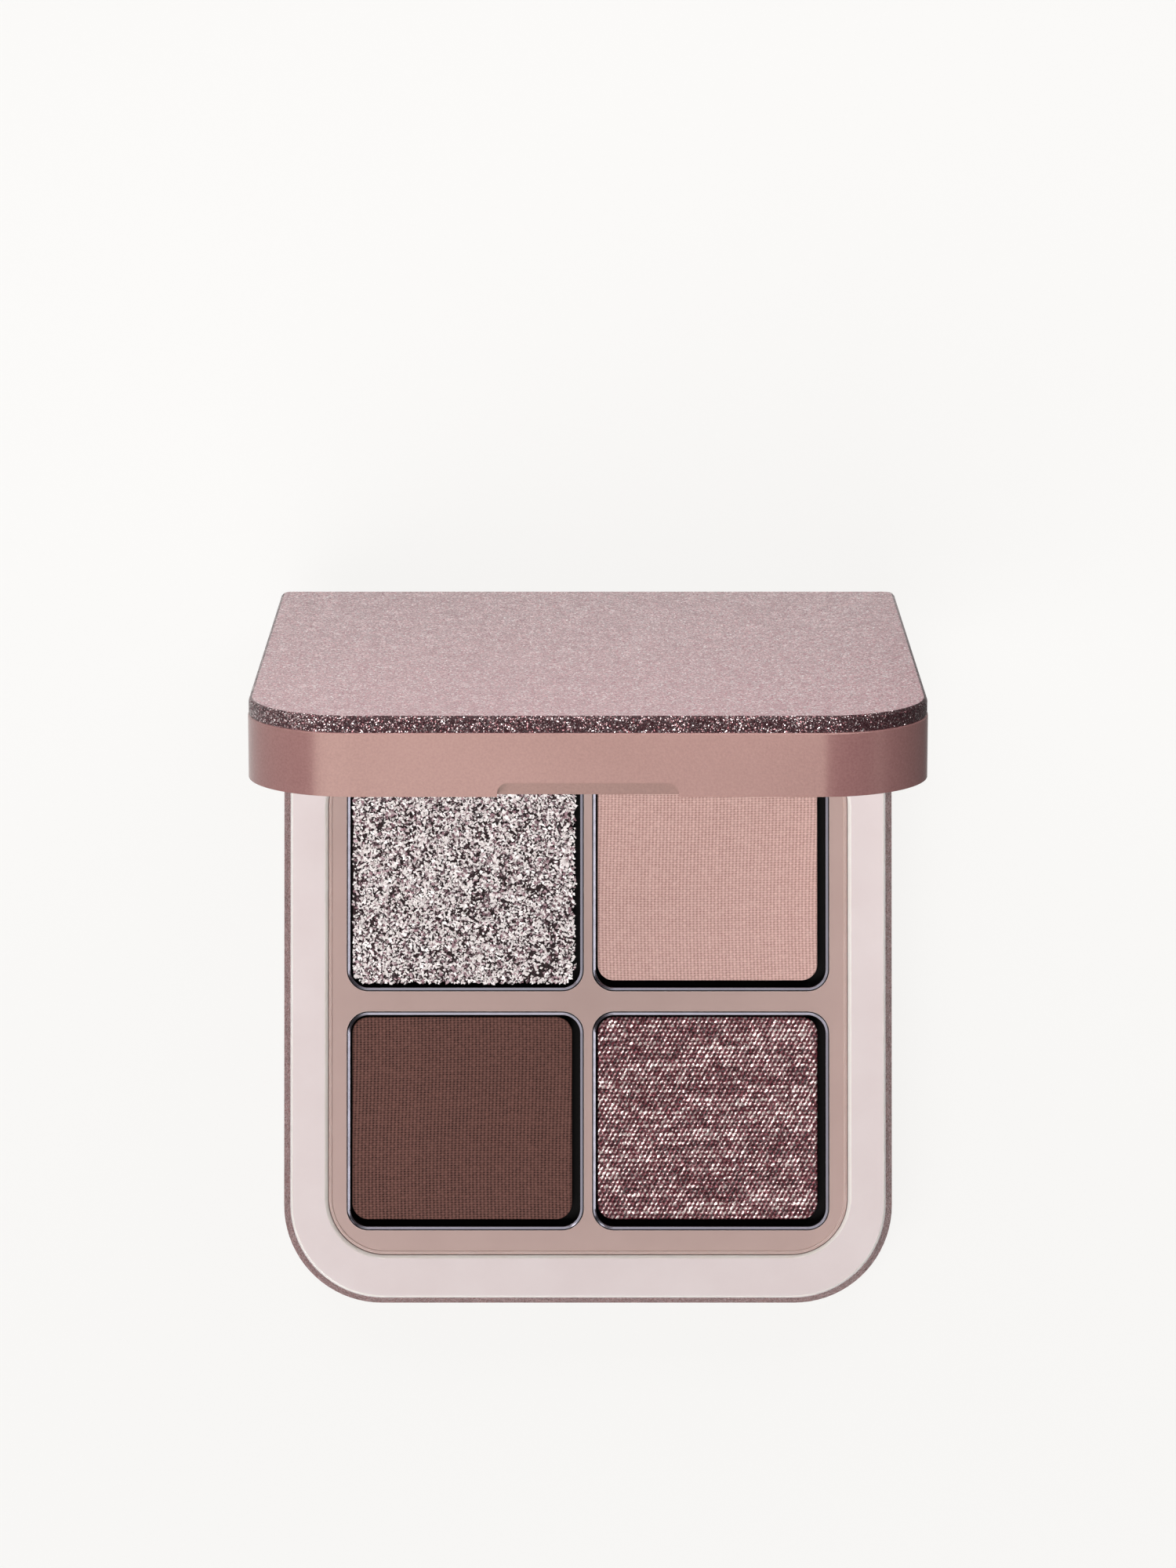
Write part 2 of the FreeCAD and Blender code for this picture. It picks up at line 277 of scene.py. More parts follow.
# Satin lacquer over moulded ABS: a warm, soft sheen where it faces a light, and a fine grain
def satin_lacquer():
    material, tree = blank(bpy.data.materials, "satin_lacquer")
    place = add(tree, "ShaderNodeTexCoord").outputs["Object"]
    grain = add(tree, "ShaderNodeTexNoise", {
        "Vector": place, "Scale": per_metre(LACQUER_GRAIN), "Detail": 2.0})
    cloud = add(tree, "ShaderNodeTexNoise", {
        "Vector": place, "Scale": per_metre(LACQUER_CLOUD), "Detail": 2.0})
    blend = add(tree, "ShaderNodeMath", {0: grain.outputs[0], 1: cloud.outputs[0]}, operation="ADD")
    share = add(tree, "ShaderNodeMapRange", {"Value": blend.outputs[0], "From Min": 0.7, "From Max": 1.3})
    colour = add(tree, "ShaderNodeMix", {
        "Factor": share.outputs[0], "A": linear("845C5B"), "B": linear("926B69")}, data_type="RGBA")
    bump = add(tree, "ShaderNodeBump", {
        "Height": grain.outputs[0], "Strength": 0.35, "Distance": GRAIN_HEIGHT})
    surface(tree, {
        "Base Color": colour.outputs["Result"], "Normal": bump.outputs[0], "Roughness": 0.26,
        "Specular IOR Level": 0.55, "Specular Tint": linear("FFE7D4")})
    return material


# Clear ABS full of fine film glitter: dark between the flakes, each flake flashes when it faces a
# light, and the smooth skin mirrors the pale room where it is seen edge-on. The flakes are drawn as
# coarse as the picture needs to show them.
def glitter_abs(name, flake_size, binder, flake, bright, gloss):
    material, tree = blank(bpy.data.materials, name)
    place = add(tree, "ShaderNodeTexCoord").outputs["Object"]
    cells = add(tree, "ShaderNodeTexVoronoi", {"Vector": place, "Scale": per_metre(flake_size)})
    kind = add(tree, "ShaderNodeSeparateColor", {0: cells.outputs["Color"]})
    cloud = add(tree, "ShaderNodeTexNoise", {
        "Vector": place, "Scale": per_metre(GLITTER_CLOUD), "Detail": 2.0})
    bare = add(tree, "ShaderNodeMapRange", {
        "Value": cloud.outputs[0], "From Min": 0.3, "From Max": 0.7,
        "To Min": GLITTER_BARE_MOST, "To Max": GLITTER_BARE_LEAST})
    is_flake = add(tree, "ShaderNodeMath", {0: kind.outputs[0], 1: bare.outputs[0]},
                   operation="GREATER_THAN")
    sparkle = add(tree, "ShaderNodeMath", {0: kind.outputs[1], 1: GLITTER_RARITY}, operation="POWER")
    tinted = add(tree, "ShaderNodeMix", {
        "Factor": sparkle.outputs[0], "A": linear(flake), "B": linear(bright)}, data_type="RGBA")
    colour = add(tree, "ShaderNodeMix", {
        "Factor": is_flake.outputs[0], "A": linear(binder), "B": tinted.outputs["Result"]},
        data_type="RGBA")
    lean = add(tree, "ShaderNodeTexWhiteNoise", {"Vector": cells.outputs["Position"]})
    surface(tree, {
        "Base Color": colour.outputs["Result"], "Metallic": is_flake.outputs[0], "Roughness": 0.3,
        "Normal": leaning(tree, lean.outputs["Color"], GLITTER_TILT), "Specular IOR Level": gloss})
    return material


# Moulded plastic, glossy or satin, with a little cloud in its tint. An edge that has a depth carries
# light through from the lit faces beside it; given a paler colour as a painted highlight, it shows as a pale
# line.
def moulded_plastic(name, deep, pale, roughness, depth=0.0):
    material, tree = blank(bpy.data.materials, name)
    place = add(tree, "ShaderNodeTexCoord").outputs["Object"]
    cloud = add(tree, "ShaderNodeTexNoise", {
        "Vector": place, "Scale": per_metre(PLASTIC_CLOUD), "Detail": 3.0})
    colour = add(tree, "ShaderNodeMix", {
        "Factor": cloud.outputs[0], "A": linear(deep), "B": linear(pale)}, data_type="RGBA")
    inputs = {"Base Color": colour.outputs["Result"], "Roughness": roughness, "IOR": 1.5}
    if depth:
        inputs.update({"Subsurface Weight": 1.0, "Subsurface Radius": (1.0, 1.0, 1.0),
                       "Subsurface Scale": depth * MM})
    surface(tree, inputs)
    return material


# Drawn or polished metal: it mirrors the room, a little hazier in some places than in others
def drawn_metal(name, tint, roughness):
    material, tree = blank(bpy.data.materials, name)
    place = add(tree, "ShaderNodeTexCoord").outputs["Object"]
    haze = add(tree, "ShaderNodeTexNoise", {
        "Vector": place, "Scale": per_metre(METAL_HAZE), "Detail": 3.0})
    rough = add(tree, "ShaderNodeMapRange", {
        "Value": haze.outputs[0], "To Min": roughness * HAZE_LEAST, "To Max": roughness * HAZE_MOST})
    surface(tree, {"Base Color": linear(tint), "Metallic": 1.0, "Roughness": rough.outputs[0]})
    return material


# Pressed matte powder: chalky, with the hollows that the cloth's threads left coloured darker as painted
# shade. Its grit is drawn as coarse as the picture needs to show it.
def matte_powder(name, hollow, crest):
    material, tree = blank(bpy.data.materials, name)
    relief = add(tree, "ShaderNodeAttribute", attribute_name="relief").outputs["Fac"]
    place = add(tree, "ShaderNodeTexCoord").outputs["Object"]
    grit = add(tree, "ShaderNodeTexNoise", {
        "Vector": place, "Scale": per_metre(POWDER_GRIT), "Detail": 2.0})
    shift = add(tree, "ShaderNodeMapRange", {
        "Value": grit.outputs[0], "To Min": -GRIT_SHIFT, "To Max": GRIT_SHIFT})
    share = add(tree, "ShaderNodeMath", {0: relief, 1: shift.outputs[0]}, operation="ADD", use_clamp=True)
    colour = add(tree, "ShaderNodeMix", {
        "Factor": share.outputs[0], "A": linear(hollow), "B": linear(crest)}, data_type="RGBA")
    bump = add(tree, "ShaderNodeBump", {
        "Height": grit.outputs[0], "Strength": 0.4, "Distance": GRAIN_HEIGHT})
    surface(tree, {
        "Base Color": colour.outputs["Result"], "Normal": bump.outputs[0], "Roughness": 0.7,
        "Specular IOR Level": 0.25})
    return material


# Pressed metallic powder: dark binder, darker still in the weave's hollows as painted shade, and mica on
# the crests, coloured near white as a painted highlight besides turning metallic. The mica is drawn as
# coarse as the picture needs to show it.
def mica_powder(name, hollow, thread, crest):
    material, tree = blank(bpy.data.materials, name)
    relief = add(tree, "ShaderNodeAttribute", attribute_name="relief").outputs["Fac"]
    place = add(tree, "ShaderNodeTexCoord").outputs["Object"]
    flakes = add(tree, "ShaderNodeTexVoronoi", {"Vector": place, "Scale": per_metre(MICA_FLAKE)})
    kind = add(tree, "ShaderNodeSeparateColor", {0: flakes.outputs["Color"]})
    shift = add(tree, "ShaderNodeMapRange", {
        "Value": kind.outputs[0], "To Min": -MICA_SHIFT, "To Max": MICA_SHIFT})
    height = add(tree, "ShaderNodeMath", {0: relief, 1: shift.outputs[0]}, operation="ADD")
    is_thread = add(tree, "ShaderNodeMapRange", {
        "Value": height.outputs[0], "From Min": MICA_THREADS[0], "From Max": MICA_THREADS[1]})
    is_crest = add(tree, "ShaderNodeMapRange", {
        "Value": height.outputs[0], "From Min": MICA_CRESTS[0], "From Max": MICA_CRESTS[1]})
    ground = add(tree, "ShaderNodeMix", {
        "Factor": is_thread.outputs[0], "A": linear(hollow), "B": linear(thread)}, data_type="RGBA")
    colour = add(tree, "ShaderNodeMix", {
        "Factor": is_crest.outputs[0], "A": ground.outputs["Result"], "B": linear(crest)},
        data_type="RGBA")
    metal = add(tree, "ShaderNodeMapRange", {"Value": is_crest.outputs[0], "To Min": 0.3, "To Max": 0.9})
    surface(tree, {
        "Base Color": colour.outputs["Result"], "Metallic": metal.outputs[0], "Roughness": 0.34,
        "Normal": leaning(tree, flakes.outputs["Color"], MICA_TILT)})
    return material


# Pearly film: most shards are near white, some rose and a few dark mauve
def pearl_film():
    material, tree = blank(bpy.data.materials, "pearl_film")
    kind = add(tree, "ShaderNodeNewGeometry").outputs["Random Per Island"]
    is_rose = add(tree, "ShaderNodeMapRange", {
        "Value": kind, "From Min": FILM_ROSE[0], "From Max": FILM_ROSE[1]})
    is_pale = add(tree, "ShaderNodeMapRange", {
        "Value": kind, "From Min": FILM_PALE[0], "From Max": FILM_PALE[1]})
    ground = add(tree, "ShaderNodeMix", {
        "Factor": is_rose.outputs[0], "A": linear("2E1A20"), "B": linear("A07C84")}, data_type="RGBA")
    colour = add(tree, "ShaderNodeMix", {
        "Factor": is_pale.outputs[0], "A": ground.outputs["Result"], "B": linear("FFF6F4")},
        data_type="RGBA")
    surface(tree, {"Base Color": colour.outputs["Result"], "Metallic": 0.1, "Roughness": 0.35})
    return material


# A new object in the scene
def placed(name, data):
    made = bpy.data.objects.new(name, data)
    bpy.context.scene.collection.objects.link(made)
    return made


# An object from a finished shape
def shown(name, shape, *materials):
    mesh = bpy.data.meshes.new(name)
    shape.to_mesh(mesh)
    shape.free()
    for material in materials:
        mesh.materials.append(material)
    return placed(name, mesh)


# A finished piece, which takes the place of a CAD node where one is named
def piece(name, shape, body, slot, replaced, *materials):
    made = shown(name, shape, *materials)
    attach(made, body)
    if replaced:
        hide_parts(replaced)
    return made


# Smooth shading that keeps flat faces flat and sharp edges sharp
def shade(made):
    made.data.shade_smooth()
    made.data.set_sharp_from_angle(angle=SHADE_ANGLE)
    weighted = made.modifiers.new("even_faces", "WEIGHTED_NORMAL")
    weighted.keep_sharp = True


# A node's own solid with its flat faces joined, ready for its edges to be rounded
def joined_faces(node):
    shape = bmesh.new()
    shape.from_mesh(frame["nodes"][node].data)
    bmesh.ops.remove_doubles(shape, verts=shape.verts, dist=WELD)
    bmesh.ops.dissolve_limit(shape, angle_limit=FLAT_ANGLE, verts=shape.verts, edges=shape.edges)
    return shape


# Rounds every sharp edge but the crisp ones, and gives back the new faces
def round_edges(shape, width, facets, crisp=()):
    sharp = [edge for edge in shape.edges
             if edge.is_manifold and edge.calc_face_angle() > SHARP_ANGLE and edge not in crisp]
    return bmesh.ops.bevel(shape, geom=sharp, offset=width, segments=facets, profile=0.5,
                           affect="EDGES", material=-1, clamp_overlap=True)["faces"]


# A node's solid with its edges rounded, as moulding leaves them; the last material goes on those edges
def moulded(node, name, slot, width, *materials):
    body = frame["nodes"][node]["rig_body"]
    shape = joined_faces(node)
    for face in round_edges(shape, width, MOULDED_FACETS):
        face.material_index = len(materials) - 1
    shade(piece(name, shape, body, slot, node, *materials))


# The lid's cap: its narrow side takes a darker copy of the glitter, painted shade, with bright specks on it
def lid_cap():
    shape = joined_faces("lid_panel")
    outward = max(shape.faces, key=lambda face: face.calc_area()).normal.copy()
    for face in shape.faces:
        if abs(face.normal.dot(outward)) < EDGE_SLOPE_HIGH:
            face.material_index = 1
    round_edges(shape, LID_CAP_ROUND, MOULDED_FACETS)
    shade(piece("lid_cap", shape, "lid", "rose_sparkle", "lid_panel", glitter, glitter_edge_painted_shade))


# The pale frame: its sloping edges are polished and coloured paler as a painted highlight, and show as a
# line round its outside and its inside
def pale_frame():
    shape = joined_faces("rim_plate")
    for face in shape.faces:
        if EDGE_SLOPE_LOW < face.normal.z < EDGE_SLOPE_HIGH:
            face.material_index = 1
    round_edges(shape, PALE_FRAME_ROUND, MOULDED_FACETS)
    shade(piece("pale_frame", shape, "base", "pale_gloss", "rim_plate", pale_gloss, pale_edge_painted_highlight))


# How far points lie inside a rounded rectangle, and where those outside it meet its edge
def fit_rounded(points, centre, half, radius):
    offset = points - centre
    core = half - radius
    nearest = np.clip(offset, -core, core)
    away = offset - nearest
    reach = np.linalg.norm(away, axis=1)
    inside = np.where(reach > 0, radius - reach, (half - np.abs(offset)).min(axis=1))
    pull = radius / np.maximum(reach, radius)
    return inside, centre + nearest + away * pull[:, None]


# Middle and half sizes of a node seen from above, and the heights of its underside and its top
def plan_of(node):
    low, high = (np.array(corner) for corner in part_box(node))
    return (low[:2] + high[:2]) / 2, (high[:2] - low[:2]) / 2, low[2], high[2]


# A flat grid at one height, with so many cells across and along
def level_grid(shape, cells, centre, half, height):
    made = bmesh.ops.create_grid(shape, x_segments=cells[0], y_segments=cells[1], size=1.0)["verts"]
    bmesh.ops.scale(shape, verts=made, vec=(half[0], half[1], 1))
    bmesh.ops.translate(shape, verts=made, vec=(centre[0], centre[1], height))
    return made


# Drops a wall from open edges and closes the shape below
def close_below(shape, edges, height):
    wall = bmesh.ops.extrude_edge_only(shape, edges=edges)["geom"]
    for vert in wall:
        if isinstance(vert, bmesh.types.BMVert):
            vert.co.z = height
    lowest = [edge for edge in wall if isinstance(edge, bmesh.types.BMEdge)]
    bmesh.ops.contextual_create(shape, geom=lowest)
    bmesh.ops.recalc_face_normals(shape, faces=shape.faces)


# A fine grid cut to the cake's outline, with its sides and underside closed
def cake_blank(node, step):
    centre, half, low, high = plan_of(node)
    cells = [int(count) for count in np.ceil(2 * half / step)]
    shape = bmesh.new()
    level_grid(shape, cells, centre, half, high)
    points = np.array([vert.co[:2] for vert in shape.verts])
    inside, fitted = fit_rounded(points, centre, half, POWDER_CORNER)
    outside = inside < 0
    shape.verts.ensure_lookup_table()
    for index in np.flatnonzero(outside):
        shape.verts[index].co.xy = fitted[index]
    beyond = [face for face in shape.faces if all(outside[vert.index] for vert in face.verts)]
    bmesh.ops.delete(shape, geom=beyond, context="FACES")
    close_below(shape, [edge for edge in shape.edges if edge.is_boundary], low)
    return shape


# The random value of the thread or crossing that each place lies on
def pick(grid, row, column):
    return grid[np.round(row).astype(int) % THREADS, np.round(column).astype(int) % THREADS]


# Height of the cloth's print, from -1 to 1: a plain weave, whose upright threads stand out
def plain_weave(points, pitch):
    u, v = (points / pitch).T
    u, v = (u + UPRIGHT_WAVER * np.sin(v / UPRIGHT_WAVER_LENGTH),
            v + CROSS_WAVER * np.sin(u / CROSS_WAVER_LENGTH))
    grid = random.random((THREADS, THREADS))
    odd = pick(grid, u, 0) + pick(grid, 0, v) - 1
    across, along = np.cos(2 * math.pi * u), np.cos(2 * math.pi * v)
    over_under = np.cos(math.pi * u) * np.cos(math.pi * v)
    holes = (0.5 - 0.5 * across) * (0.5 - 0.5 * along) * (HOLE_LEAST + HOLE_SPREAD * pick(grid, u, v))
    return (WEAVE_LEVEL + WEAVE_UPRIGHT * across + WEAVE_CROSS * along + WEAVE_OVER_UNDER * over_under
            + WEAVE_ODD_THREAD * odd - holes)


# A twill, whose short slanting floats lie in brick order
def twill(points, pitch):
    u, v = (points / pitch).T
    grid = random.random((THREADS, THREADS))
    slanted = u - TWILL_SLANT * v
    dash = pick(grid, slanted, v) - 0.5
    slub = pick(grid, u / SLUB_LENGTH, v + THREADS // 2) - 0.5
    grit = random.random(len(u)) - 0.5
    floats = TWILL_ACROSS * np.cos(2 * math.pi * slanted) + TWILL_ALONG * np.cos(2 * math.pi * v)
    return floats + TWILL_ODD_DASH * dash + TWILL_SLUB * slub + TWILL_GRIT * grit


# Where an object's vertices lie
def places_of(made):
    places = np.zeros(len(made.data.vertices) * 3)
    made.data.vertices.foreach_get("co", places)
    return places.reshape(-1, 3)


# A cake with the cloth's print pressed into its face and a rounded shoulder; its attribute "relief"
# keeps the print for the colour, which paints shade into the print's hollows
def woven_cake(node, name, print_of, pitch, depth, material):
    made = piece(name, cake_blank(node, pitch / STEPS_PER_THREAD), "base", node, node, material)
    centre, half, low, high = plan_of(node)
    places = places_of(made)
    on_face = places[:, 2] > (low + high) / 2
    relief = np.clip(print_of(places[:, :2], pitch), -1, 1)
    inside, _ = fit_rounded(places[:, :2], centre, half, POWDER_CORNER)
    to_rim = np.clip(1 - inside / POWDER_SHOULDER, 0, 1)
    shoulder = POWDER_SHOULDER * (1 - np.sqrt(1 - to_rim ** 2))
    places[:, 2] -= np.where(on_face, shoulder + depth * (1 - to_rim) * (1 - relief), 0)
    made.data.vertices.foreach_set("co", places.ravel())
    kept = made.data.attributes.new("relief", "FLOAT", "POINT")
    kept.data.foreach_set("value", np.where(on_face, 0.5 + 0.5 * relief, 0.0))
    made.data.shade_smooth()


# Loose shards of film lying on the glitter cake, each turned, tilted and cut its own way
def shards(node):
    centre, half, _, high = plan_of(node)
    centre, reach = centre + SHARD_SPILL * (1, -1), half + SHARD_SPILL
    cells = [int(count) for count in 2 * reach / SHARD_SIZE]
    shape = bmesh.new()
    for layer in range(SHARD_LAYERS):
        shift = random.uniform(-0.5, 0.5, 2) * SHARD_SIZE
        level_grid(shape, cells, shift, reach, high + layer * SHARD_LAYER_GAP)
    bmesh.ops.split_edges(shape, edges=shape.edges)
    lost = []
    for face in shape.faces:
        middle = face.calc_center_median()
        inside, _ = fit_rounded(np.array([middle.xy]), np.zeros(2), reach - SHARD_EDGE, POWDER_CORNER)
        clump = noise.noise(middle / SHARD_CLUMP)
        if inside[0] < 0 or random.random() > SHARD_COVER + SHARD_CLUMPING * clump:
            lost.append(face)
            continue
        turn = (Matrix.Rotation(random.uniform(0, 2 * math.pi), 3, "Z")
                @ Matrix.Rotation(random.normal(0, SHARD_TILT), 3, "X"))
        size = random.uniform(*SHARD_SCALE)
        aspect = random.uniform(*SHARD_ASPECT)
        lift = random.uniform(-SHARD_LIFT, SHARD_LIFT)
        slide = random.uniform(-0.5, 0.5, 2) * SHARD_SIZE
        for vert in face.verts:
            cut = Vector(random.uniform(-SHARD_JITTER, SHARD_JITTER, 2) * SHARD_SIZE).to_3d()
            spread = (vert.co - middle) * size
            vert.co = middle + turn @ (Vector((spread.x * aspect, spread.y / aspect, 0)) + cut)
            vert.co += Vector((slide[0] + centre[0], slide[1] + centre[1], lift))
    bmesh.ops.delete(shape, geom=lost, context="FACES")
    bmesh.ops.solidify(shape, geom=shape.faces, thickness=SHARD_THICKNESS)
    return shape


# A rounded rectangle as one face
def rounded_face(shape, centre, half, radius, height):
    corners = level_grid(shape, (1, 1), centre, half, height)
    bmesh.ops.bevel(shape, geom=corners, offset=radius, segments=CORNER_STEPS, profile=0.5,
                    affect="VERTICES", material=-1, clamp_overlap=True)
    [face] = shape.faces
    return face


# A drawn pan: its outside by a wall dropped from the lip's edge, its lip, inner wall and floor by
# insets. Its inside is coloured nearly black as painted shade, which shows as a black gap beside the cake.
def drawn_pan(corner):
    node = "pan_" + corner
    centre, half, low, high = plan_of(node)
    shape = bmesh.new()
    inside = rounded_face(shape, centre, half, PAN_CORNER, high)
    lip_edge = list(inside.edges)
    close_below(shape, lip_edge, low)
    to_floor = low + PAN_FLOOR_ABOVE - high + PAN_LIP_DROP
    for across, drop in ((PAN_LIP_SLOPE, -PAN_LIP_DROP), (PAN_WALL_DRAFT, to_floor)):
        ring = bmesh.ops.inset_region(shape, faces=[inside], thickness=across, depth=drop,
                                      use_boundary=True, use_even_offset=True)
    # The pan's inside takes the nearly black painted shade
    for face in ring["faces"] + [inside]:
        face.material_index = 1
    round_edges(shape, PAN_ROUND, PAN_FACETS, lip_edge)
    shade(piece("metal_" + node, shape, "base", "pan_metal", node, tinplate, pan_inside_painted_shade))


# A CAD node shown as it is, in one material
def finish(node, material):
    frame["nodes"][node].data.materials.clear()
    frame["nodes"][node].data.materials.append(material)


# Rose plastics: lacquer on the lid, and glitter plastic, pale and sparkling on the caps' faces, a darker
# copy with bright specks on the lid cap's narrow side as painted shade, and dull on the base's wall
lacquer = satin_lacquer()
glitter = glitter_abs("glitter_abs", GLITTER_FLAKE, "A2787E", "D8AEB2", "FFFFFF", 0.7)
glitter_edge_painted_shade = glitter_abs("glitter_abs_shaded_edge", GLITTER_FLAKE_CUT, "382024", "7C5256", "FFF4F4", 0.2)
fine_glitter = glitter_abs("glitter_abs_fine", GLITTER_FLAKE_CUT, "6A3A3A", "965A5A", "D8A4A2", 0.03)

# Frame and tray: glossy pale pink ABS and satin tan ABS, each with its edges coloured paler as a painted
# highlight
pale_gloss = moulded_plastic("gloss_abs_pale", "DFCFCE", "E9DCDB", 0.16)
pale_edge_painted_highlight = moulded_plastic("gloss_abs_painted_highlight", "FCE6DF", "FFF2EB", 0.12, PALE_EDGE_DEPTH)
satin_tan = moulded_plastic("satin_abs_tan", "B1958E", "BDA19A", 0.38)
tan_edge_painted_highlight = moulded_plastic("satin_abs_painted_highlight", "D6BFB7", "DEC9C2", 0.3, TAN_EDGE_DEPTH)

# Hidden glue and tape: cream, and duller than the mouldings
glue = moulded_plastic("adhesive_pad", "DDD8C8", "ECE8DC", 0.4)
tape = moulded_plastic("tape_film", "E2DED6", "F2EFE8", 0.6)

# Metals: cool grey tinplate, steel, warmer nickel, and silver smooth enough to show the room sharply
tinplate = drawn_metal("tinplate", "AAA6B3", 0.22)
steel = drawn_metal("steel_wire", "B8B8BC", 0.25)
nickel = drawn_metal("nickel_plate", "C8C4BC", 0.2)
silvered = drawn_metal("silvered_glass", "F2F4F5", 0.015)

# Powders, with painted shade in their hollows; the glitter's binder, dark and darkened further as painted
# shade between the shards, and its film; and the pans' insides, nearly black as painted shade
pink = matte_powder("pressed_powder_pink", "A47B73", "E6C0B8")
brown = matte_powder("pressed_powder_brown", "1C0C09", "7F554C")
plum = mica_powder("pressed_powder_plum", "220A0F", "7A3841", "FFEEE9")
# The glitter cake's binder: its own dark tone, darkened to nearly black as painted shade between the shards
binder_and_painted_shade = matte_powder("pressed_binder_and_shade", "140C0D", "3A2729")
film = pearl_film()
pan_inside_painted_shade = matte_powder("pan_inside_shade", "0C0808", "140E0E")

# Shells, caps, frame and tray
moulded("lid_frame", "lid_shell", "rose_matte", LID_SHELL_ROUND, lacquer)
moulded("lid_bezel", "mirror_bezel", "rose_matte", MIRROR_BEZEL_ROUND, lacquer)
lid_cap()
moulded("bottom_panel", "bottom_cap", "rose_sparkle", BOTTOM_CAP_ROUND, glitter)
moulded("base_frame", "base_shell", "rose_sparkle", BASE_SHELL_ROUND, fine_glitter)
# The tray's rounded edges take the paler tan, a painted highlight
moulded("pan_deck", "pan_tray", "tan_satin", PAN_TRAY_ROUND, satin_tan, tan_edge_painted_highlight)
pale_frame()

# Pans with their glue, then the mirror, pins and magnets
for corner in CORNERS:
    drawn_pan(corner)
    finish("glue_" + corner, glue)
finish("mirror", silvered)
finish("mirror_tape", tape)
for side in SIDES:
    finish("hinge_pin_" + side, steel)
    finish("lid_magnet_" + side, nickel)
    finish("base_magnet_" + side, nickel)

# Powders and the loose film
woven_cake("powder_pink", "pink_cake", plain_weave, PINK_WEAVE, WEAVE_DEPTH, pink)
woven_cake("powder_brown", "brown_cake", plain_weave, BROWN_WEAVE, WEAVE_DEPTH, brown)
woven_cake("powder_plum", "plum_cake", twill, PLUM_TWILL, TWILL_DEPTH, plum)
woven_cake("powder_glitter", "glitter_cake", plain_weave, PLUM_TWILL, WEAVE_DEPTH, binder_and_painted_shade)
piece("glitter_shards", shards("powder_glitter"), "base", "powder_glitter", None, film)


# 1 for rays that come straight from the camera, from gloss or through glass, and 0 for others
def seen_rays(tree, path):
    seen = path.outputs["Is Camera Ray"]
    for kind in ("Is Glossy Ray", "Is Transmission Ray"):
        seen = add(tree, "ShaderNodeMath", {0: seen, 1: path.outputs[kind]}, operation="MAXIMUM").outputs[0]
    return seen


# The white sweep that the palette lies on: white where it is seen, with the shadow kept, and mid grey for
# the light that it throws back. In reflections it fades to the right.
def floor():
    material, tree = blank(bpy.data.materials, "white_sweep")
    path = add(tree, "ShaderNodeLightPath")
    seen = seen_rays(tree, path)
    share = add(tree, "ShaderNodeMath", {0: seen, 1: FLOOR_WHITE}, operation="MULTIPLY")
    tone = add(tree, "ShaderNodeMix", {
        "Factor": seen, "A": linear("7C7C7B"), "B": linear("D6D5D4")}, data_type="RGBA")
    paper = add(tree, "ShaderNodeBsdfDiffuse", {"Color": tone.outputs["Result"]})
    across = add(tree, "ShaderNodeSeparateXYZ", {0: add(tree, "ShaderNodeTexCoord").outputs["Object"]})
    fade = add(tree, "ShaderNodeMapRange", {
        "Value": across.outputs[0], "From Min": FLOOR_FADE[0], "From Max": FLOOR_FADE[1],
        "To Min": 1.0, "To Max": FLOOR_FADED})
    level = add(tree, "ShaderNodeMath", {0: fade.outputs[0], 1: path.outputs["Is Camera Ray"]},
                operation="MAXIMUM")
    white = add(tree, "ShaderNodeEmission", {"Color": linear("FCFBF9"), "Strength": level.outputs[0]})
    mixed = add(tree, "ShaderNodeMixShader", {0: share.outputs[0], 1: paper.outputs[0], 2: white.outputs[0]})
    add(tree, "ShaderNodeOutputMaterial", {"Surface": mixed.outputs[0]})
    shape = bmesh.new()
    level_grid(shape, (1, 1), (0, 0), (FLOOR_HALF, FLOOR_HALF), 0)
    shown("floor", shape, material)


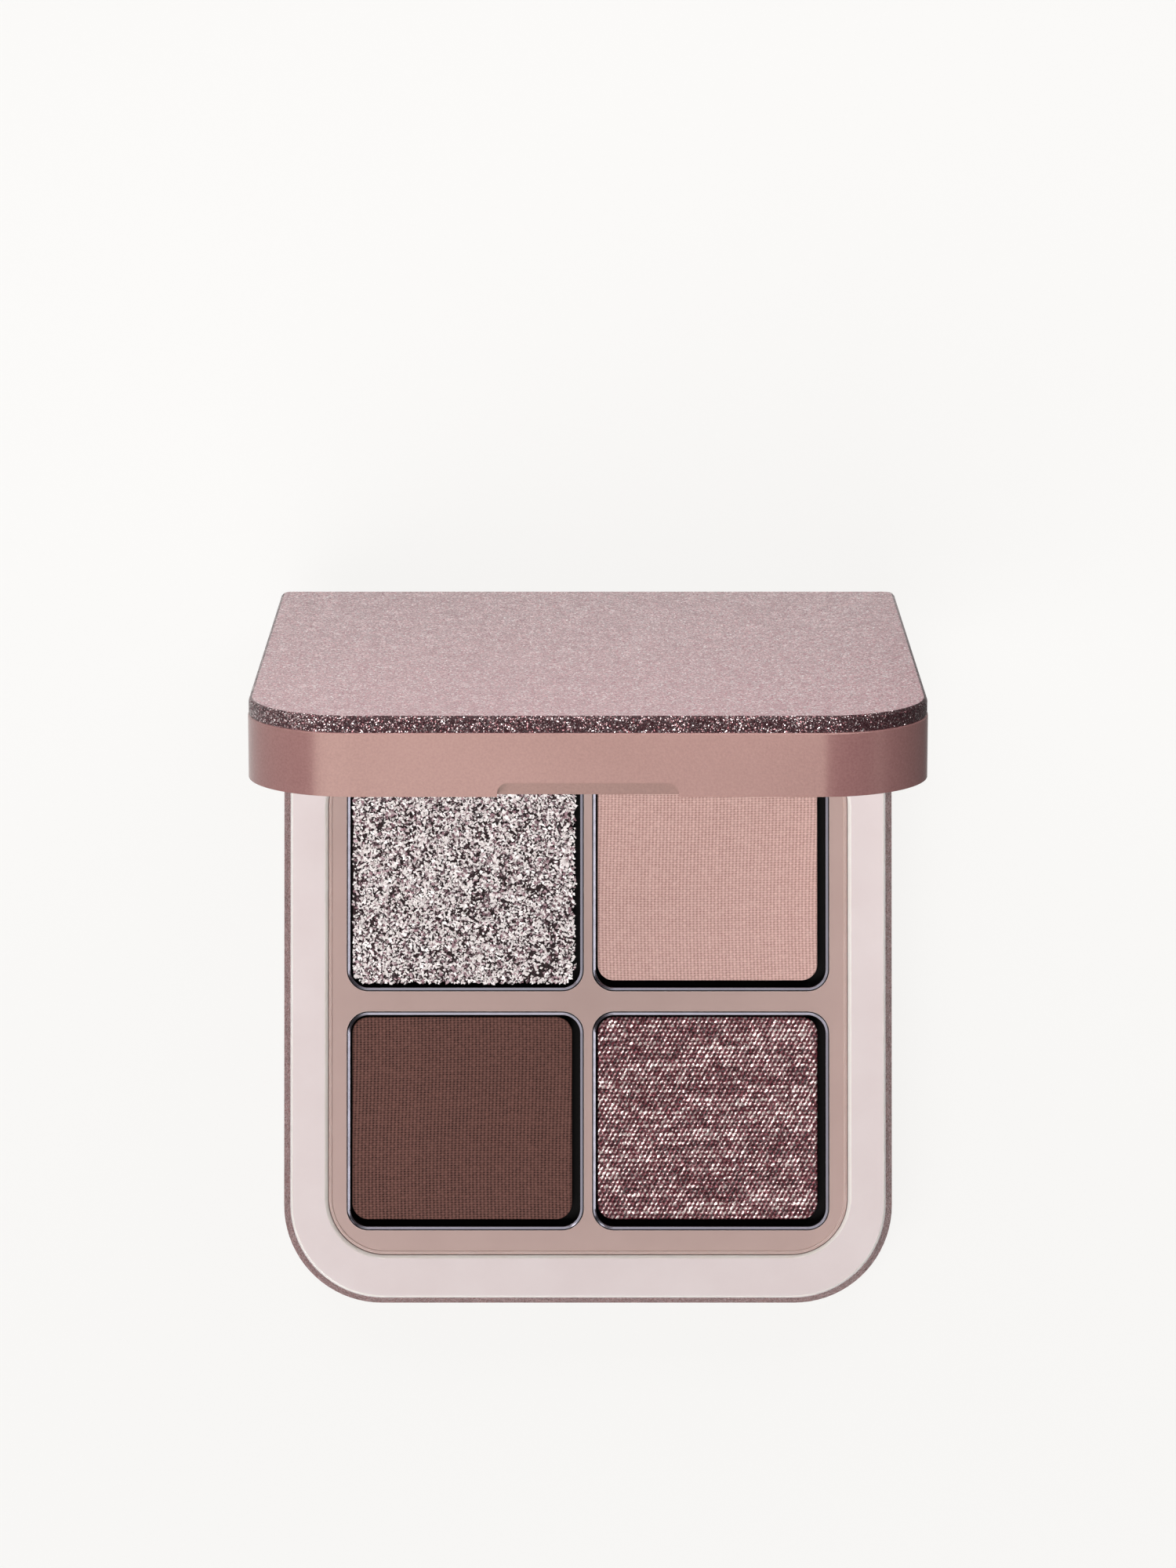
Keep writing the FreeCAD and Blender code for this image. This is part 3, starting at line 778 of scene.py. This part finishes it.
# The room: dim light, stronger from the left. Where the low sky is seen it is white, and in reflections it
# fades to the right.
def world():
    made, tree = blank(bpy.data.worlds, "studio")
    path = add(tree, "ShaderNodeLightPath")
    way = add(tree, "ShaderNodeSeparateXYZ", {0: add(tree, "ShaderNodeTexCoord").outputs["Generated"]})
    light = add(tree, "ShaderNodeMapRange", {
        "Value": way.outputs[0], "From Min": -1.0, "To Min": ROOM_LEFT, "To Max": ROOM_RIGHT})
    dim = add(tree, "ShaderNodeBackground", {"Color": linear("FFFFFF"), "Strength": light.outputs[0]})
    low = add(tree, "ShaderNodeMapRange", {
        "Value": way.outputs[2], "From Min": LOW_SKY_END[0], "From Max": LOW_SKY_END[1],
        "To Min": 1.0, "To Max": 0.0})
    share = add(tree, "ShaderNodeMath", {0: seen_rays(tree, path), 1: low.outputs[0]}, operation="MULTIPLY")
    fade = add(tree, "ShaderNodeMapRange", {
        "Value": way.outputs[0], "From Max": LOW_SKY_FADE, "To Min": 1.0, "To Max": LOW_SKY_FADED})
    level = add(tree, "ShaderNodeMath", {0: fade.outputs[0], 1: path.outputs["Is Camera Ray"]},
                operation="MAXIMUM")
    white = add(tree, "ShaderNodeBackground", {"Color": linear("FAF9F7"), "Strength": level.outputs[0]})
    mixed = add(tree, "ShaderNodeMixShader", {0: share.outputs[0], 1: dim.outputs[0], 2: white.outputs[0]})
    add(tree, "ShaderNodeOutputWorld", {"Surface": mixed.outputs[0]})
    bpy.context.scene.world = made


# Stands a lamp or the camera at a place and turns it to face a point
def aim(made, place, target):
    made.location = place
    made.rotation_euler = (Vector(target) - Vector(place)).to_track_quat("-Z", "Y").to_euler()


# A rectangular lamp, which the camera doesn't see
def panel_light(name, place, target, width, height, watts):
    lamp = bpy.data.lights.new(name, "AREA")
    lamp.shape = "RECTANGLE"
    lamp.size = width
    lamp.size_y = height
    lamp.energy = watts
    made = placed(name, lamp)
    aim(made, place, target)
    made.visible_camera = False


# The photograph's own view
def camera():
    lens = bpy.data.cameras.new("camera")
    lens.sensor_width = SENSOR
    lens.lens = SENSOR * FOCAL_PIXELS / PICTURE_HEIGHT
    lens.clip_start, lens.clip_end = CAMERA_RANGE
    made = placed("camera", lens)
    aim(made, CAMERA_PLACE, CAMERA_TARGET)
    bpy.context.scene.camera = made


floor()
world()
for name, settings in LAMPS.items():
    panel_light(name, *settings)
camera()
bpy.context.scene.view_settings.view_transform = "Standard"
